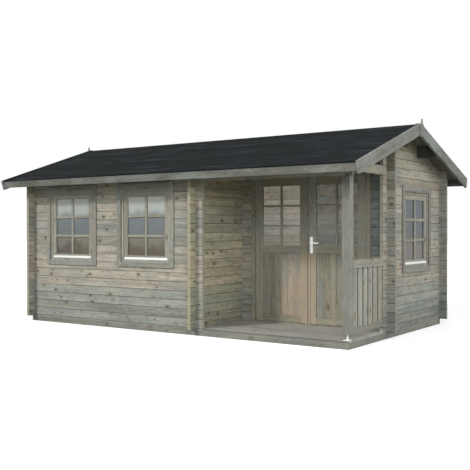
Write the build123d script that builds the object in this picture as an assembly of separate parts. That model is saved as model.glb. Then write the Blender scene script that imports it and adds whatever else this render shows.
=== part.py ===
"""Log garden shed with a recessed corner veranda, a double door and a gable roof.

The frame has X along the long front, Y from front to back and Z up.
The origin is the middle of the roof's outline, on the ground.
Walls are stacked logs. A log lies half a course higher in one direction than in
the other, and the two directions lock into each other with notches at each corner.
"""
from build123d import *
import math
import os

# Walls, all in millimetres
wall_length = 5110.0
wall_depth = 2880.0
log_thickness = 44.0
log_course = 114.0
log_end = 106.0
joint_depth = 3.5
joint_height = 9.0
beam_height = 75.0
first_joint = 90.0

# Veranda in the front right corner
veranda_left = 3006.0
veranda_depth = 1040.0
post_width = 98.0
post_depth = 90.0
post_set_back = 37.0
post_foot_gap = 70.0
foot_plate_width = 76.0
foot_plate_depth = 70.0
foot_plate_thickness = 6.0
foot_head = 50.0
foot_head_thickness = 5.0
foot_rod = 20.0
eaves_log_courses = 2
beam_end = 50.0
handrail_top = 981.0
handrail_height = 90.0
handrail_width = 44.0
lower_rail_bottom = 163.0
lower_rail_height = 66.0
baluster_count = 6
baluster_gap = 26.0
baluster_thickness = 18.0

# Floor and base
base_beam_width = 60.0
floor_thickness = 18.0
joist_spacing = 480.0

# Roof
roof_pitch = 18.3
ridge_height = 2615.0
eaves_reach = 312.0
gable_reach = 278.0
roof_board = 18.0
covering = 4.0
covering_turn = 14.0
fascia_thickness = 18.0
fascia_bottom = 1932.0
bargeboard_thickness = 28.0
bargeboard_width = 136.0
bargeboard_tail = 28.0
verge_strip_width = 32.0
verge_strip_thickness = 8.0
purlin_thickness = 44.0
purlin_height = 150.0
rear_purlin_place = 570.0
ridge_purlin_width = 60.0
ridge_purlin_height = 150.0
finial_width = 90.0
finial_thickness = 18.0
finial_above = 52.0
finial_below = 26.0
finial_spike = 60.0
finial_neck = 25.0
finial_point = 6.0
finial_corner = 12.0
finial_shoulder = 14.0

# Windows, three alike
window_centres = (817.0, 2180.0)
side_window_centre = 1990.0
casing_over_eaves_log = 23.0
casing_width = 970.0
casing_height = 1107.0
casing_side = 66.0
casing_top = 83.0
casing_foot = 65.0
casing_thickness = 18.0
casing_lap = 12.0
frame_face = 46.0
frame_depth = 64.0
frame_stop = 14.0
sash_set_back = 10.0
sash_thickness = 40.0
sash_stile = 55.0
sash_foot = 46.0
sash_gap = 0.6
glass_thickness = 4.0
glass_groove = 9.0
drip_height = 28.0
drip_reach = 12.0
drip_lip = 4.0
drip_end_gap = 16.0

# Double door
door_centre = 4036.0
leaf_width = 800.0
leaf_gap = 5.0
meeting_gap = 9.0
leaf_thickness = 40.0
leaf_bottom = 112.0
leaf_over_eaves_log = 86.0
leaf_set_back = 2.0
leaf_stile = 112.0
leaf_top_rail = 110.0
glazing_bottom = 1112.0
middle_rail = 98.0
leaf_bottom_rail = 90.0
panel_thickness = 18.0
panel_board = 92.0
panel_groove = 3.0
meeting_strip_width = 30.0
meeting_strip_thickness = 8.0
meeting_strip_drop = 13.0
door_flange = 56.0
door_flange_thickness = 18.0
door_lining = 24.0
door_stop = 14.0
threshold_reach = 10.0
threshold_height = 13.0

# Hinges and lever handle
low_hinge_height = 340.0
top_hinge_drop = 228.0
knuckle_radius = 7.0
knuckle_length = 42.0
knuckle_clearance = 0.4
hinge_pin_short = 2.0
hinge_pin_radius = 4.0
hinge_pin_clearance = 0.3
hinge_plate = 3.0
hinge_axis_reach = 12.0
hinge_plate_width = 34.0
hinge_plate_start = 4.0
lever_height = 1148.0
handle_plate_width = 38.0
handle_plate_height = 210.0
handle_plate_thickness = 6.0
handle_plate_below = 130.0
handle_plate_corner = 8.0
lever_length = 128.0
lever_stand = 46.0
lever_neck = 16.0
lever_height_of_bar = 18.0
lever_thickness = 10.0
lever_corner = 6.0
lever_clearance = 0.5
spindle_place = 50.0
spindle = 9.0
spindle_clearance = 0.4

# Places that follow from the sizes above
slope = math.tan(math.radians(roof_pitch))
slope_cos = math.cos(math.radians(roof_pitch))
half_length = wall_length / 2
half_depth = wall_depth / 2
left = -half_length
right = half_length
front = -half_depth
rear = half_depth
half_course = log_course / 2
side_wall_x = left + veranda_left
door_wall_y = front + veranda_depth
floor_top = beam_height + floor_thickness
roof_half = half_depth + eaves_reach
front_wall_top = ridge_height - half_depth * slope - (covering + roof_board) / slope_cos
front_courses = math.ceil((front_wall_top - first_joint) / log_course)
eaves_log_bottom = first_joint + (front_courses - eaves_log_courses) * log_course
window_bottom = eaves_log_bottom + casing_over_eaves_log - casing_height
leaf_top = eaves_log_bottom + leaf_over_eaves_log
hinge_heights = (low_hinge_height, leaf_top - top_hinge_drop)


def box(x0, x1, y0, y1, z0, z1):
    """A box between two corners."""
    return Pos((x0 + x1) / 2, (y0 + y1) / 2, (z0 + z1) / 2) * Box(x1 - x0, y1 - y0, z1 - z0)


def prism_x(points, x0, x1):
    """A prism along X, with its outline given as (y, z) points."""
    outline = Plane.YZ * make_face(Polyline(*points, close=True))
    return Pos(x0, 0, 0) * extrude(outline, amount=x1 - x0, dir=(1, 0, 0))


def prism_y(points, y0, y1):
    """A prism along Y, with its outline given as (x, z) points."""
    outline = Plane((0, 0, 0), x_dir=(1, 0, 0), z_dir=(0, -1, 0)) * make_face(Polyline(*points, close=True))
    return Pos(0, y0, 0) * extrude(outline, amount=y1 - y0, dir=(0, 1, 0))


def roof_z(y, below=0.0):
    """Height of the roof at y, at a distance below the top of the covering."""
    return ridge_height - abs(y) * slope - below / slope_cos


def under_roof():
    """Everything below the roof boards, for the logs and purlins that meet them."""
    depth = covering + roof_board
    reach = roof_half + 200
    outline = [(-reach, 0), (reach, 0), (reach, roof_z(reach, depth)), (0, roof_z(0, depth)),
               (-reach, roof_z(reach, depth))]
    return prism_x(outline, left - 600, right + 600)


def log_outline(face, z0, z1, shift, outer):
    """Section through a stack of logs from `face` towards plus, with joints on one face.

    `outer` is minus one where the weather side is at `face`, and plus one where it is opposite.
    """
    joints = []
    z = first_joint + shift
    while z < z1 - joint_height:
        if z > z0 + joint_height:
            joints.append(z)
        z += log_course
    half = joint_height / 2
    back = face + log_thickness
    grooved = face
    plain = back
    if outer > 0:
        grooved = back
        plain = face
    outline = [(plain, z1), (plain, z0), (grooved, z0)]
    for z in joints:
        outline += [(grooved, z - half), (grooved - outer * joint_depth, z), (grooved, z + half)]
    outline.append((grooved, z1))
    return outline


def notches(x_face, y_face, z0, z1, kept_by_x):
    """The places at one crossing that the logs along X keep, or those that the logs along Y keep."""
    slots = []
    z = first_joint - half_course / 2
    bounds = [z0]
    while z < z1:
        if z > z0:
            bounds.append(z)
        z += half_course
    bounds.append(z1)
    for low, high in zip(bounds, bounds[1:]):
        middle = (low + high) / 2
        nearest = round((middle - first_joint) / half_course)
        along_x = nearest % 2 == 1
        if along_x == kept_by_x:
            slots.append(box(x_face, x_face + log_thickness, y_face, y_face + log_thickness, low, high))
    return slots


def wall_along_x(x0, x1, y_face, z0, z1, crossings, outer=-1):
    """Logs along X. They give way to the logs along Y at each crossing."""
    wall = prism_x(log_outline(y_face, z0, z1, 0, outer), x0, x1)
    for x_face in crossings:
        wall -= notches(x_face, y_face, z0, z1, kept_by_x=False)
    return wall


def wall_along_y(y0, y1, x_face, z0, z1, crossings, outer=1):
    """Logs along Y. They give way to the logs along X at each crossing."""
    wall = prism_y(log_outline(x_face, z0, z1, half_course, outer), y0, y1)
    for y_face in crossings:
        wall -= notches(x_face, y_face, z0, z1, kept_by_x=True)
    return wall


def one_solid(shape):
    """The shape as a compound of its solids, or as its only solid."""
    solids = shape.solids()
    return solids[0] if len(solids) == 1 else Compound(children=list(solids))


# Base and floors

def foundation():
    """Long beams along X, and cross beams and joists between them."""
    low = box(left, right, front, front + base_beam_width, 0, beam_height)
    high = box(left, right, rear - base_beam_width, rear, 0, beam_height)
    door_beam = box(side_wall_x, right - base_beam_width, door_wall_y, door_wall_y + base_beam_width,
                    0, beam_height)
    y0 = front + base_beam_width
    y1 = rear - base_beam_width
    cross = [box(left, left + base_beam_width, y0, y1, 0, beam_height)]
    cross.append(box(right - base_beam_width, right, y0, y1, 0, beam_height))
    cross.append(box(side_wall_x - base_beam_width, side_wall_x, y0, y1, 0, beam_height))
    left_bays = math.ceil((side_wall_x - base_beam_width - left) / joist_spacing)
    left_step = (side_wall_x - base_beam_width - left) / left_bays
    for i in range(1, left_bays):
        x = left + i * left_step
        cross.append(box(x, x + base_beam_width, y0, y1, 0, beam_height))
    right_bays = math.ceil((right - side_wall_x) / joist_spacing)
    right_step = (right - base_beam_width - side_wall_x) / right_bays
    for i in range(1, right_bays):
        x = side_wall_x + i * right_step - base_beam_width / 2
        cross.append(box(x, x + base_beam_width, y0, door_wall_y, 0, beam_height))
        cross.append(box(x, x + base_beam_width, door_wall_y + base_beam_width, y1, 0, beam_height))
    return [low, high, door_beam], cross


def room_floor():
    """Floor boards between the walls, round the veranda."""
    t = log_thickness
    room = box(left + t, right - t, door_wall_y + t, rear - t, beam_height, floor_top)
    bay = box(left + t, side_wall_x - t, front + t, door_wall_y + t, beam_height, floor_top)
    door_wall_end = box(side_wall_x - t - log_end, side_wall_x, door_wall_y, door_wall_y + t,
                        beam_height, floor_top)
    side_wall_end = box(side_wall_x - t, side_wall_x, door_wall_y, door_wall_y + t + log_end,
                        beam_height, floor_top)
    return (room + bay) - door_wall_end - side_wall_end


def veranda_floor():
    """Floor boards in front of the door, out to the front and right edges of the base."""
    floor = box(side_wall_x, right, front, door_wall_y, beam_height, floor_top)
    ends = box(side_wall_x, side_wall_x + log_end, front, front + log_thickness, beam_height, floor_top)
    stack = box(right - log_thickness, right, door_wall_y - log_end, door_wall_y, beam_height, floor_top)
    return floor - ends - stack


# Walls

def purlin_boxes():
    """Ridge purlin and the two side purlins, before they are cut to the roof."""
    x0 = left - gable_reach + bargeboard_thickness
    x1 = right + gable_reach - bargeboard_thickness
    depth = covering + roof_board
    low = roof_z(door_wall_y, depth) - purlin_height
    rear_low = roof_z(rear_purlin_place, depth) - purlin_height
    ridge_low = roof_z(0, depth) - ridge_purlin_height
    front_purlin = box(x0, x1, door_wall_y, door_wall_y + purlin_thickness, low, ridge_height)
    rear_purlin = box(x0, x1, rear_purlin_place, rear_purlin_place + purlin_thickness, rear_low, ridge_height)
    half = ridge_purlin_width / 2
    ridge = box(x0, x1, -half, half, ridge_low, ridge_height)
    return ridge, front_purlin, rear_purlin, low


def window_holes():
    """Openings in the logs for the three windows, as (front holes, side hole)."""
    half = casing_width / 2 - casing_side + casing_lap
    z0 = window_bottom + casing_foot - casing_lap
    z1 = window_bottom + casing_height - casing_top + casing_lap
    beyond = log_thickness
    y0 = front - beyond
    y1 = front + log_thickness + beyond
    front_holes = []
    for x in window_centres:
        front_holes.append(box(left + x - half, left + x + half, y0, y1, z0, z1))
    y = front + side_window_centre
    side_hole = box(right - log_thickness - beyond, right + beyond, y - half, y + half,
                    z0 - half_course, z1 - half_course)
    return front_holes, side_hole


def walls():
    """Each wall as a stack of logs, cut to the roof and for its windows and door."""
    t = log_thickness
    top = ridge_height
    roof = under_roof()
    ridge, front_purlin, rear_purlin, purlin_low = purlin_boxes()
    purlins = [ridge, front_purlin, rear_purlin]
    front_holes, side_hole = window_holes()
    ends = log_end
    out = {}

    out["front_wall"] = wall_along_x(left - ends, side_wall_x + ends, front, beam_height, eaves_log_bottom,
                                     (left, side_wall_x - t)) - front_holes
    out["front_eaves_logs"] = wall_along_x(left - ends, right + beam_end, front, eaves_log_bottom, top,
                                           (left, side_wall_x - t, right - t)) & roof
    out["front_eaves_logs"] -= front_holes
    out["rear_wall"] = wall_along_x(left - ends, right + ends, rear - t, beam_height, top,
                                    (left, right - t), outer=1) & roof
    out["left_gable_wall"] = (wall_along_y(front - ends, rear + ends, left, beam_height, top,
                                           (front, rear - t), outer=-1) & roof) - purlins
    right_wall = wall_along_y(door_wall_y - ends, rear + ends, right - t, beam_height, top,
                              (door_wall_y, rear - t)) & roof
    out["right_gable_wall"] = right_wall - purlins - side_hole
    side_wall = wall_along_y(front - ends, door_wall_y + t + ends, side_wall_x - t, beam_height, top,
                             (front, door_wall_y)) & roof
    out["veranda_side_wall"] = side_wall - front_purlin

    door_wall = wall_along_x(side_wall_x - t - ends, right + ends, door_wall_y, beam_height, purlin_low,
                             (side_wall_x - t, right - t))
    x0, x1, z1 = door_hole()
    hole = box(x0, x1, door_wall_y - t, door_wall_y + 2 * t, 0, top)
    over = box(x0, x1, door_wall_y - t, door_wall_y + 2 * t, z1, top)
    out["door_wall_sides"] = door_wall - hole
    out["door_wall_over"] = door_wall & over
    return out


def door_hole():
    """Left, right and top of the opening in the door wall."""
    half = meeting_gap / 2 + leaf_width + leaf_gap + door_lining
    return left + door_centre - half, left + door_centre + half, leaf_top + leaf_gap + door_lining


# Roof

def roof_slab(side, y_edge, x0, x1, below, thickness):
    """A sloping layer on one side of the ridge. `side` is minus one at the front."""
    top_edge = roof_z(y_edge, below)
    outline = [(0, roof_z(0, below)), (side * y_edge, top_edge),
               (side * y_edge, top_edge - thickness / slope_cos),
               (0, roof_z(0, below) - thickness / slope_cos)]
    return prism_x(outline, x0, x1)


def roof_covering(side, x0, x1):
    """The sheet on one side of the ridge, turned down over the fascia at the eaves."""
    y_out = roof_half + covering
    foot = roof_z(y_out) - covering_turn
    outline = [(0, roof_z(0)), (side * y_out, roof_z(y_out)), (side * y_out, foot), (side * roof_half, foot),
               (side * roof_half, roof_z(roof_half, covering)), (0, roof_z(0, covering))]
    return prism_x(outline, x0, x1)


def sloping_strip(side, x0, x1, y_top, above, depth):
    """A board that lies along the slope from the ridge to `y_top`, square to it at its lower end.

    `above` is how far its top stands over the covering, and `depth` its whole size across the slope.
    """
    angle = math.radians(roof_pitch)
    down = (side * math.sin(angle), math.cos(angle))
    z_top = roof_z(y_top)
    top_y = side * y_top + down[0] * above
    top_z = z_top + down[1] * above
    low_y = side * y_top - down[0] * (depth - above)
    low_z = z_top - down[1] * (depth - above)
    ridge_top = roof_z(0, -above)
    ridge_low = roof_z(0, depth - above)
    outline = [(0, ridge_top), (top_y, top_z), (low_y, low_z), (0, ridge_low)]
    return prism_x(outline, x0, x1)


def roof():
    """Purlins, boards, covering, fascias, bargeboards, verge strips and finials."""
    out = {}
    clip = under_roof()
    ridge, front_purlin, rear_purlin, purlin_low = purlin_boxes()
    out["ridge_purlin"] = ridge & clip
    out["side_purlins"] = Compound(children=[*(front_purlin & clip).solids(), *(rear_purlin & clip).solids()])
    x0 = left - gable_reach
    x1 = right + gable_reach
    in0 = x0 + bargeboard_thickness
    in1 = x1 - bargeboard_thickness
    board_edge = roof_half - fascia_thickness
    rise = verge_strip_thickness
    fascias = []
    for side, name in ((-1, "front"), (1, "rear")):
        out["roof_boards_" + name] = roof_slab(side, board_edge, in0, in1, covering, roof_board)
        out["roof_covering_" + name] = roof_covering(side, in0, in1)
        y_out = side * roof_half
        y_in = side * board_edge
        fascia = [(y_out, fascia_bottom), (y_out, roof_z(roof_half, covering)),
                  (y_in, roof_z(board_edge, covering)), (y_in, fascia_bottom)]
        fascias += prism_x(fascia, in0, in1).solids()
        boards = []
        strips = []
        y_board = roof_half + bargeboard_tail
        for a, b in ((x0, in0), (in1, x1)):
            boards += sloping_strip(side, a, b, y_board, rise, bargeboard_width).solids()
        for a, b in ((in0, in0 + verge_strip_width), (in1 - verge_strip_width, in1)):
            strips += sloping_strip(side, a, b, roof_half, rise, rise).solids()
        out["bargeboards_" + name] = Compound(children=boards)
        out["verge_strips_" + name] = Compound(children=strips)
    out["eaves_fascias"] = Compound(children=fascias)
    out["finials"] = finials(x0, x1)
    return out


def finials(x0, x1):
    """A pointed board on the apex of each gable."""
    half = finial_width / 2
    top = ridge_height + verge_strip_thickness / slope_cos + finial_above
    shoulder = top - finial_spike
    foot = ridge_height - (bargeboard_width - verge_strip_thickness) / slope_cos - finial_below
    low = half - finial_corner
    neck = finial_neck / 2
    point = finial_point / 2
    side_top = shoulder - finial_shoulder
    outline = [(-half, foot + finial_corner), (-low, foot), (low, foot), (half, foot + finial_corner),
               (half, side_top), (neck, shoulder), (point, top), (-point, top), (-neck, shoulder),
               (-half, side_top)]
    left_board = prism_x(outline, x0 - finial_thickness, x0)
    right_board = prism_x(outline, x1, x1 + finial_thickness)
    return Compound(children=[*left_board.solids(), *right_board.solids()])


# Veranda

def veranda():
    """Corner post on its foot, the side log, the rails and their boards."""
    out = {}
    t = log_thickness
    post_bottom = floor_top + post_foot_gap
    low = eaves_log_bottom + half_course
    y0 = front + post_set_back
    y1 = y0 + post_depth
    post = box(right - post_width, right, y0, y1, post_bottom, low)
    out["corner_post"] = post - box(right - 2 * post_width, right, front, front + t, eaves_log_bottom, low)
    x = right - post_width / 2
    y = (y0 + y1) / 2
    half_x = foot_plate_width / 2
    half_y = foot_plate_depth / 2
    plate = box(x - half_x, x + half_x, y - half_y, y + half_y, floor_top, floor_top + foot_plate_thickness)
    rod = Pos(x, y, (floor_top + post_bottom) / 2) * Cylinder(foot_rod / 2, post_foot_gap)
    half = foot_head / 2
    head = box(x - half, x + half, y - half, y + half, post_bottom - foot_head_thickness, post_bottom)
    out["post_foot"] = plate + rod + head
    side_log = prism_y(log_outline(right - t, low, low + log_course, half_course, 1),
                       front - beam_end, door_wall_y - log_end)
    out["side_log"] = side_log - notches(right - t, front, low, low + log_course, kept_by_x=True)
    half = handrail_width / 2
    middle = right - half
    y_end = door_wall_y - log_end
    rails = [box(middle - half, middle + half, y1, y_end, handrail_top - handrail_height, handrail_top)]
    rail_top = lower_rail_bottom + lower_rail_height
    rails.append(box(middle - half, middle + half, y1, y_end, lower_rail_bottom, rail_top))
    out["balustrade_rails"] = Compound(children=rails)
    pitch = (y_end - y1) / baluster_count
    boards = []
    for i in range(baluster_count):
        start = y1 + i * pitch + baluster_gap / 2
        boards.append(box(middle - baluster_thickness / 2, middle + baluster_thickness / 2, start,
                          start + pitch - baluster_gap, rail_top, handrail_top - handrail_height))
    out["balusters"] = Compound(children=boards)
    return out


# Windows

def ring(width, height, side, top, foot, y0, y1):
    """A rectangular frame in the plane of a front window, about the middle of its foot."""
    outer = box(-width / 2, width / 2, y0, y1, 0, height)
    return outer - box(-width / 2 + side, width / 2 - side, y0 - 1, y1 + 1, foot, height - top)


def window_pieces():
    """One window, outer face towards minus Y, with the wall's outer face at y = 0."""
    pieces = {}
    pieces["window_casings"] = ring(casing_width, casing_height, casing_side, casing_top, casing_foot,
                                    -casing_thickness, 0)
    frame_w = casing_width - 2 * casing_side + 2 * casing_lap
    frame_h = casing_height - casing_top - casing_foot + 2 * casing_lap
    frame_z = casing_foot - casing_lap
    y0 = 0.0
    y1 = frame_depth
    frame = ring(frame_w, frame_h, frame_face, frame_face, frame_face, y0, y1)
    stop_y = sash_set_back + sash_thickness
    stop_face = frame_face + frame_stop
    stop = ring(frame_w, frame_h, stop_face, stop_face, stop_face, stop_y, y1)
    pieces["window_frames"] = Pos(0, 0, frame_z) * (frame + stop)
    sash_w = frame_w - 2 * frame_face - 2 * sash_gap
    sash_h = frame_h - 2 * frame_face - 2 * sash_gap
    sash_z = frame_z + frame_face + sash_gap
    sash = ring(sash_w, sash_h, sash_stile, sash_stile, sash_foot, sash_set_back, stop_y)
    glass_y = sash_set_back + sash_thickness / 2
    glass_w = sash_w - 2 * sash_stile + 2 * glass_groove
    glass_z0 = sash_foot - glass_groove
    glass_h = sash_h - sash_stile - sash_foot + 2 * glass_groove
    glass = box(-glass_w / 2, glass_w / 2, glass_y, glass_y + glass_thickness, glass_z0, glass_z0 + glass_h)
    pieces["window_sashes"] = Pos(0, 0, sash_z) * (sash - glass)
    pieces["window_glass"] = Pos(0, 0, sash_z) * glass
    drip = [(sash_set_back, sash_z), (sash_set_back - drip_reach, sash_z),
            (sash_set_back - drip_reach, sash_z + drip_lip), (sash_set_back, sash_z + drip_height)]
    pieces["window_drip_strips"] = prism_x(drip, -sash_w / 2 + drip_end_gap, sash_w / 2 - drip_end_gap)
    return pieces


def windows():
    """The three windows, with like pieces together."""
    out = {}
    places = []
    for x in window_centres:
        places.append(Pos(left + x, front, window_bottom))
    places.append(Pos(right, front + side_window_centre, window_bottom - half_course) * Rot(0, 0, 90))
    for name, piece in window_pieces().items():
        solids = []
        for place in places:
            solids += (place * piece).solids()
        out[name] = Compound(children=solids)
    return out


# Door

def hinge_axis_y():
    """The pins stand in front of the leaves' outer faces."""
    return leaf_face_y() - hinge_axis_reach


def leaf_face_y():
    """Outer face of the closed leaves."""
    return door_wall_y - door_flange_thickness + leaf_set_back


def door_frame():
    """Lining in the opening, a flat flange round it outside, and a stop behind the leaves.

    The jambs stand on the floor, and the head lies across them.
    """
    x0, x1, z1 = door_hole()
    t = log_thickness
    y = door_wall_y
    flange_out = door_flange - door_lining
    flange = box(x0 - flange_out, x1 + flange_out, y - door_flange_thickness, y, floor_top, z1 + flange_out)
    lining = box(x0, x1, y, y + t, floor_top, z1)
    way = box(x0 + door_lining, x1 - door_lining, y - 2 * t, y + 2 * t, 0, z1 - door_lining)
    stop_y = leaf_face_y() + leaf_thickness + leaf_gap
    stop = box(x0 + door_lining, x1 - door_lining, stop_y, y + t, floor_top + threshold_height,
               z1 - door_lining)
    stop -= box(x0 + door_lining + door_stop, x1 - door_lining - door_stop, y - 2 * t, y + 2 * t, 0,
                z1 - door_lining - door_stop)
    whole = ((flange + lining) - way) + stop
    reach = x1 - x0
    head_line = z1 - door_lining - door_stop
    head_cut = box(x0 - reach, x1 + reach, y - 2 * t, y + 2 * t, head_line, z1 + reach)
    return whole - head_cut, whole & head_cut


def threshold():
    """Low board under the leaves, between the linings."""
    x0, x1, z1 = door_hole()
    return box(x0 + door_lining, x1 - door_lining, door_wall_y - threshold_reach, door_wall_y + log_thickness,
               floor_top, floor_top + threshold_height)


def leaf(meeting_side):
    """One leaf from x = 0 to its width: stiles, rails and a panel of upright boards below the glazing.

    A cover strip lies along its meeting edge, at x = 0 where `meeting_side` is minus one.
    """
    y0 = leaf_face_y()
    y1 = y0 + leaf_thickness
    body = box(0, leaf_width, y0, y1, leaf_bottom, leaf_top)
    body -= box(leaf_stile, leaf_width - leaf_stile, y0 - 1, y1 + 1, glazing_bottom, leaf_top - leaf_top_rail)
    panel_z0 = leaf_bottom + leaf_bottom_rail
    panel_z1 = glazing_bottom - middle_rail
    body -= box(leaf_stile, leaf_width - leaf_stile, y0 - 1, y1 + 1, panel_z0, panel_z1)
    middle = y0 + leaf_thickness / 2
    width = leaf_width - 2 * leaf_stile
    panel = box(leaf_stile, leaf_stile + width, middle - panel_thickness / 2, middle + panel_thickness / 2,
                panel_z0, panel_z1)
    boards = round(width / panel_board)
    for i in range(1, boards):
        x = leaf_stile + width * i / boards
        face = middle - panel_thickness / 2
        groove = [(x - panel_groove, face), (x, face + panel_groove), (x + panel_groove, face)]
        outline = make_face(Polyline(*groove, close=True))
        panel -= Pos(0, 0, panel_z0) * extrude(outline, amount=panel_z1 - panel_z0)
    strip_x = 0.0
    if meeting_side > 0:
        strip_x = leaf_width - meeting_strip_width
    strip = box(strip_x, strip_x + meeting_strip_width, y0 - meeting_strip_thickness, y0,
                leaf_bottom - meeting_strip_drop, leaf_top)
    return (body + panel + strip) - leaf_glass()


def leaf_glass():
    """One sheet of glass in a leaf, let into its stiles and rails."""
    y = leaf_face_y() + leaf_thickness / 2
    half = glass_thickness / 2
    x0 = leaf_stile - glass_groove
    z1 = leaf_top - leaf_top_rail + glass_groove
    return box(x0, leaf_width - x0, y - half, y + half, glazing_bottom - glass_groove, z1)


def hinges(x_edge, side):
    """Frame halves and leaf halves of the hinges on one leaf.

    `side` is plus one where the leaf lies to the right of its hinges.
    """
    axis_x = x_edge - side * leaf_gap / 2
    axis_y = hinge_axis_y()
    face = leaf_face_y()
    frame_face_y = door_wall_y - door_flange_thickness
    frame_halves = []
    leaf_halves = []
    for z in hinge_heights:
        pin = Pos(axis_x, axis_y, z) * Cylinder(hinge_pin_radius, 2 * (knuckle_length - hinge_pin_short))
        low = Pos(axis_x, axis_y, z - knuckle_length / 2) * Cylinder(knuckle_radius, knuckle_length)
        near = sorted((axis_x, axis_x - side * knuckle_radius))
        web = box(near[0], near[1], axis_y, frame_face_y, z - knuckle_length, z)
        plate_end = hinge_plate_start + hinge_plate_width
        out = sorted((axis_x - side * hinge_plate_start, axis_x - side * plate_end))
        plate = box(out[0], out[1], frame_face_y - hinge_plate, frame_face_y, z - knuckle_length, z)
        frame_halves += (pin + low + web + plate).solids()
        gap = knuckle_clearance
        up = Pos(axis_x, axis_y, z + gap + knuckle_length / 2) * Cylinder(knuckle_radius, knuckle_length)
        near = sorted((axis_x + side * leaf_gap / 2, axis_x + side * knuckle_radius))
        web = box(near[0], near[1], axis_y, face, z + gap, z + gap + knuckle_length)
        out = sorted((axis_x + side * leaf_gap / 2, axis_x + side * (leaf_gap / 2 + hinge_plate_width)))
        plate = box(out[0], out[1], face - hinge_plate, face, z + gap, z + gap + knuckle_length)
        bore = Pos(axis_x, axis_y, z) * Cylinder(hinge_pin_radius + hinge_pin_clearance, 2 * knuckle_length)
        leaf_halves += ((up + web + plate) - bore).solids()
    return frame_halves, leaf_halves


def handle(x_spindle):
    """Long plates on both faces of the active leaf, and the levers on their spindle."""
    face = leaf_face_y()
    back = face + leaf_thickness
    middle = Pos(x_spindle, (face + back) / 2, lever_height) * Rot(90, 0, 0)
    reach = leaf_thickness + 2 * lever_stand
    bore = middle * Cylinder(spindle / 2 + spindle_clearance, reach)
    z0 = lever_height - handle_plate_below
    z1 = z0 + handle_plate_height
    half = handle_plate_width / 2
    half_bar = lever_height_of_bar / 2
    plates = []
    levers = middle * Cylinder(spindle / 2, reach)
    for y, out in ((face, -1), (back, 1)):
        ys = sorted((y, y + out * handle_plate_thickness))
        plate = box(x_spindle - half, x_spindle + half, ys[0], ys[1], z0, z1)
        plate = chamfer(plate.edges().filter_by(Axis.Y), handle_plate_corner)
        plates += (plate - bore).solids()
        y_neck = y + out * (handle_plate_thickness + lever_clearance)
        y_bar = y + out * lever_stand
        ys = sorted((y_neck, y_bar))
        half_neck = lever_neck / 2
        neck = box(x_spindle - half_neck, x_spindle + half_neck, ys[0], ys[1],
                   lever_height - half_neck, lever_height + half_neck)
        ys = sorted((y_bar - out * lever_thickness, y_bar))
        bar = box(x_spindle - half_bar, x_spindle - half_bar + lever_length, ys[0], ys[1],
                  lever_height - half_bar, lever_height + half_bar)
        levers = levers + neck + chamfer(bar.edges().filter_by(Axis.Y), lever_corner)
    return plates, levers, bore


def door():
    """Frame, threshold, two leaves with glass, hinges and the lever handle."""
    out = {}
    out["door_jambs"], out["door_head"] = door_frame()
    out["door_threshold"] = threshold()
    x_left = left + door_centre - meeting_gap / 2 - leaf_width
    x_right = left + door_centre + meeting_gap / 2
    left_leaf = Pos(x_left, 0, 0) * leaf(1)
    right_leaf = Pos(x_right, 0, 0) * leaf(-1)
    plates, levers, bore = handle(x_right + spindle_place)
    out["left_leaf"] = left_leaf
    out["right_leaf"] = right_leaf - bore
    out["left_leaf_glass"] = Pos(x_left, 0, 0) * leaf_glass()
    out["right_leaf_glass"] = Pos(x_right, 0, 0) * leaf_glass()
    left_frame_halves, left_halves = hinges(x_left, 1)
    right_frame_halves, right_halves = hinges(x_right + leaf_width, -1)
    out["hinge_pins"] = Compound(children=left_frame_halves + right_frame_halves)
    out["left_leaf_hinges"] = Compound(children=left_halves)
    out["right_leaf_hinges"] = Compound(children=right_halves)
    out["handle_plates"] = Compound(children=plates)
    out["lever_handle"] = levers
    return out


def build():
    """Every piece of the shed, by name."""
    pieces = {}
    long_beams, cross_beams = foundation()
    pieces["foundation_long_beams"] = Compound(children=long_beams)
    pieces["foundation_cross_beams"] = Compound(children=cross_beams)
    pieces["room_floor"] = room_floor()
    pieces["veranda_floor"] = veranda_floor()
    pieces.update(walls())
    pieces.update(roof())
    pieces.update(veranda())
    pieces.update(windows())
    pieces.update(door())
    return pieces


def main():
    os.makedirs("parts", exist_ok=True)
    for name, shape in build().items():
        export_step(one_solid(shape), "parts/" + name + ".step")


main()
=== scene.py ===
"""Looks of the log garden shed: camera, light, materials, boards, glazing bars and small metalwork.

Lengths are in metres. X runs along the front, Y from front to back and Z up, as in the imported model.
"""
import math

import bmesh
import bpy
from mathutils import Matrix, Vector

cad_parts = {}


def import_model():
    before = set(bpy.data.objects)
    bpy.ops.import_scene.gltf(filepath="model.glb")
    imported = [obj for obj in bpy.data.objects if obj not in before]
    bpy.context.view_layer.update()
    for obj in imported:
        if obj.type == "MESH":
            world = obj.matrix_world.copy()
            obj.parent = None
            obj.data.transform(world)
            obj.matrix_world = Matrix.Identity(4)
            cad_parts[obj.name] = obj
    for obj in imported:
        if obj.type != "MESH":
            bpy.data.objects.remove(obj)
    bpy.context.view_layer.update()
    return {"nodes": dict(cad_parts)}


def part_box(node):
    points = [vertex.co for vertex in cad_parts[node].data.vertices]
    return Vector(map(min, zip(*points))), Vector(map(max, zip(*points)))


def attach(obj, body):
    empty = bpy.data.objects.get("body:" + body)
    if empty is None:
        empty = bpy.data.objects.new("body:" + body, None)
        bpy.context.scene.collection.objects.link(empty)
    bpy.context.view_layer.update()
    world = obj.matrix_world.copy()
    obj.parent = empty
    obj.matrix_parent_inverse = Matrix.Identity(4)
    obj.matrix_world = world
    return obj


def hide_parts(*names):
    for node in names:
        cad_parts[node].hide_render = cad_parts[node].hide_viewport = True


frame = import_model()
nodes = frame["nodes"]

# Walls, as in the part's source
WALL_LENGTH = 5.110
WALL_DEPTH = 2.880
LOG_COURSE = 0.114
FIRST_JOINT = 0.090
LEFT = -WALL_LENGTH / 2
RIGHT = WALL_LENGTH / 2
FRONT = -WALL_DEPTH / 2

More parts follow.
